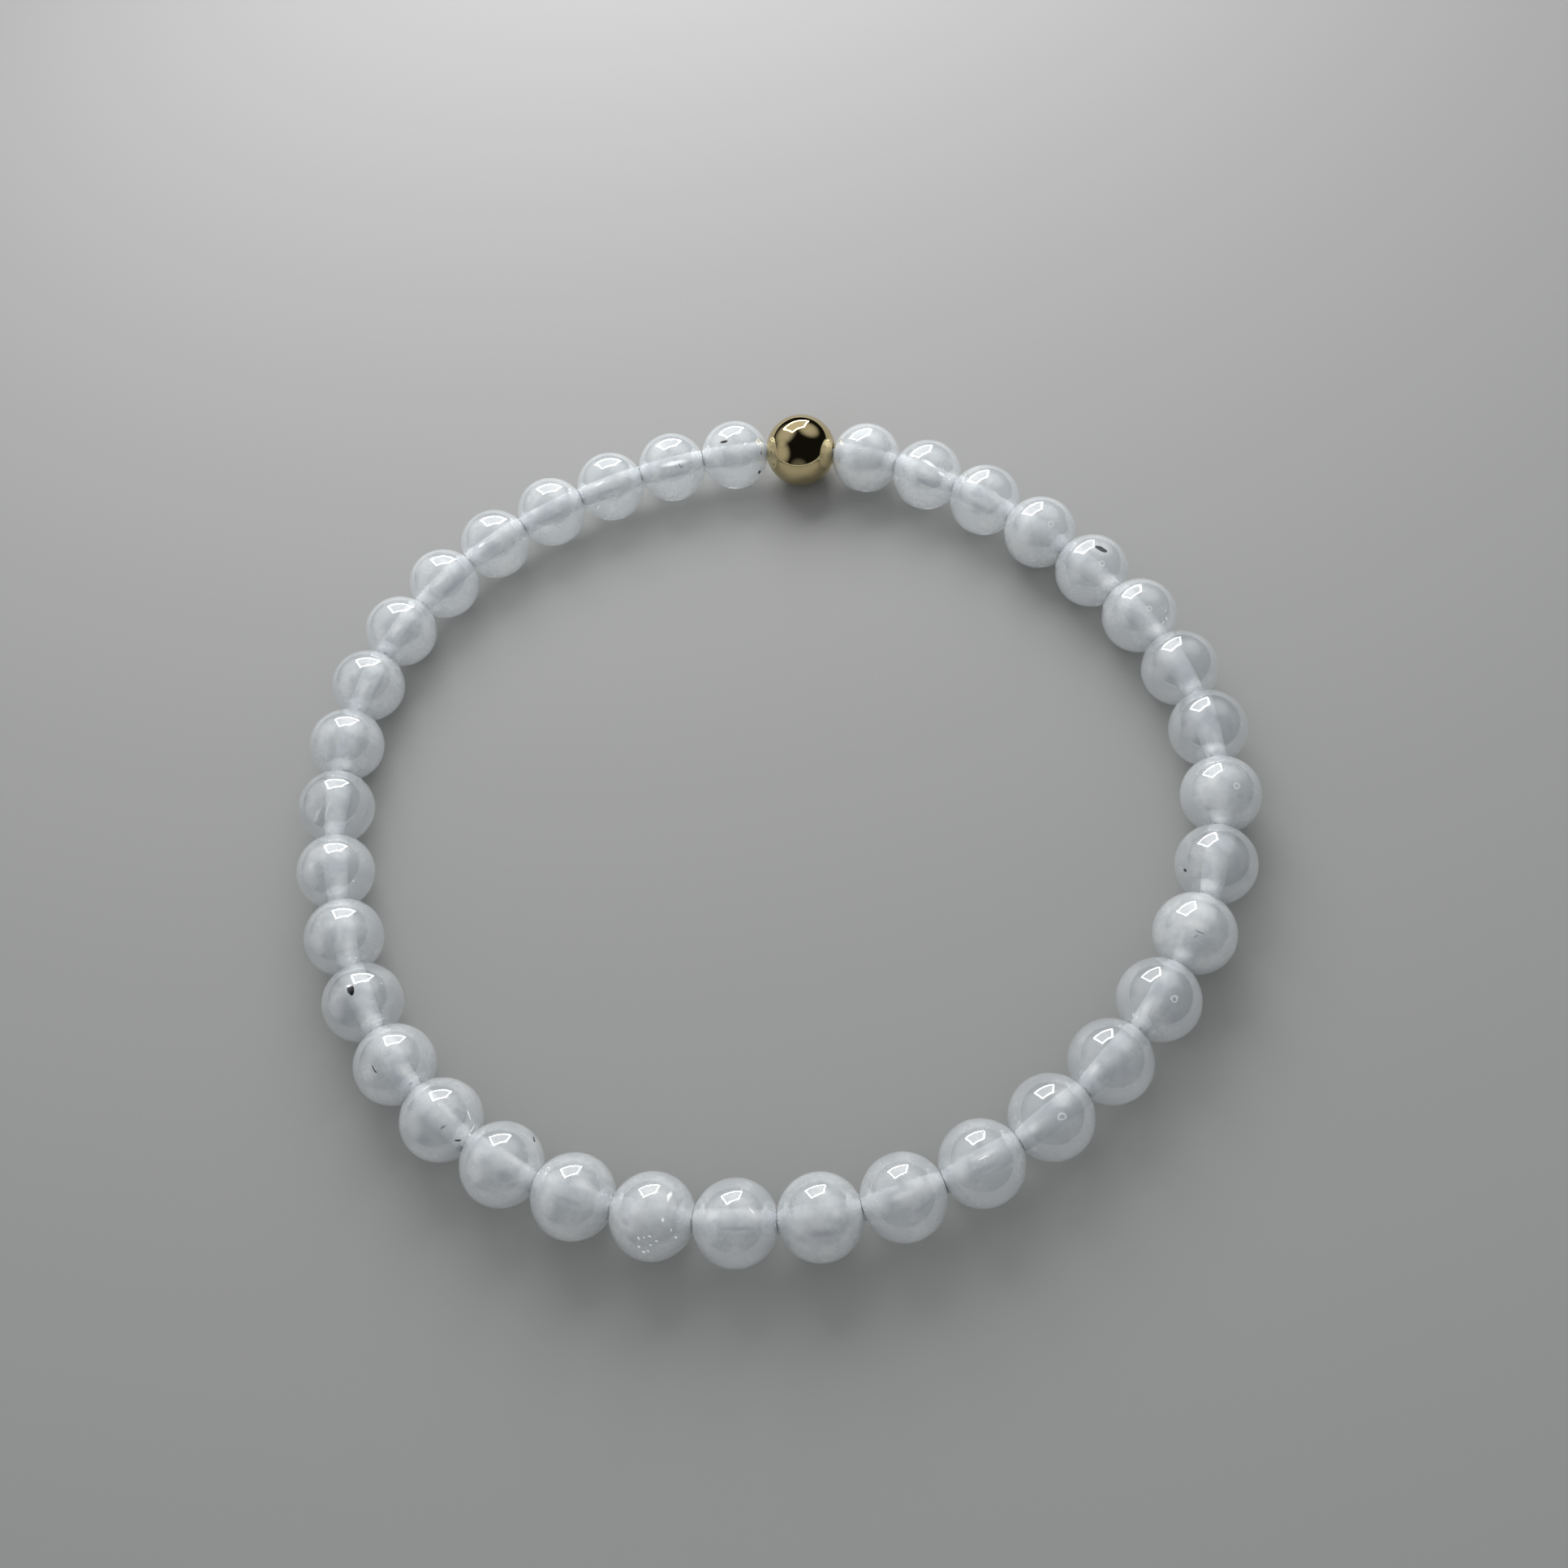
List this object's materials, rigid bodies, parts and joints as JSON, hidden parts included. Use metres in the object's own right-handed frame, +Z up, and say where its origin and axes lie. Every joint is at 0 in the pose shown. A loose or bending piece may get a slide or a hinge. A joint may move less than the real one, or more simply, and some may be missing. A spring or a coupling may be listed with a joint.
{
  "type": "moonstone bead bracelet",
  "caption": "Stretch bracelet: a closed string of round translucent moonstone beads with one polished gold bead, lying flat as a nearly round ring.",
  "frame": {"origin": "on the surface that the bracelet lies on, under the middle of its box", "axes": "+Z up out of the surface, through the wrist opening; the gold bead is on the +Y side; beads are numbered clockwise from it as seen from above"},
  "size_m": [0.0634, 0.061, 0.0052],
  "materials": {
    "moonstone": "polished, translucent, milky white with a faint blue sheen",
    "gold": "mirror polished, pale champagne gold",
    "elastic": "clear whitish elastic cord"
  },
  "bodies": {
    "root": {"gold_bead": "gold", "moonstone_bead_01": "moonstone", "moonstone_bead_02": "moonstone", "moonstone_bead_03": "moonstone", "moonstone_bead_04": "moonstone", "moonstone_bead_05": "moonstone", "moonstone_bead_06": "moonstone", "moonstone_bead_07": "moonstone", "moonstone_bead_08": "moonstone", "moonstone_bead_09": "moonstone", "moonstone_bead_10": "moonstone", "moonstone_bead_11": "moonstone", "moonstone_bead_12": "moonstone", "moonstone_bead_13": "moonstone", "moonstone_bead_14": "moonstone", "moonstone_bead_15": "moonstone", "moonstone_bead_16": "moonstone", "moonstone_bead_17": "moonstone", "moonstone_bead_18": "moonstone", "moonstone_bead_19": "moonstone", "moonstone_bead_20": "moonstone", "moonstone_bead_21": "moonstone", "moonstone_bead_22": "moonstone", "moonstone_bead_23": "moonstone", "moonstone_bead_24": "moonstone", "moonstone_bead_25": "moonstone", "moonstone_bead_26": "moonstone", "moonstone_bead_27": "moonstone", "moonstone_bead_28": "moonstone", "moonstone_bead_29": "moonstone", "moonstone_bead_30": "moonstone", "moonstone_bead_31": "moonstone", "moonstone_bead_32": "moonstone", "moonstone_bead_33": "moonstone", "moonstone_bead_34": "moonstone", "moonstone_bead_35": "moonstone", "moonstone_bead_36": "moonstone", "elastic_thread": "elastic"}
  },
  "joints": []
}
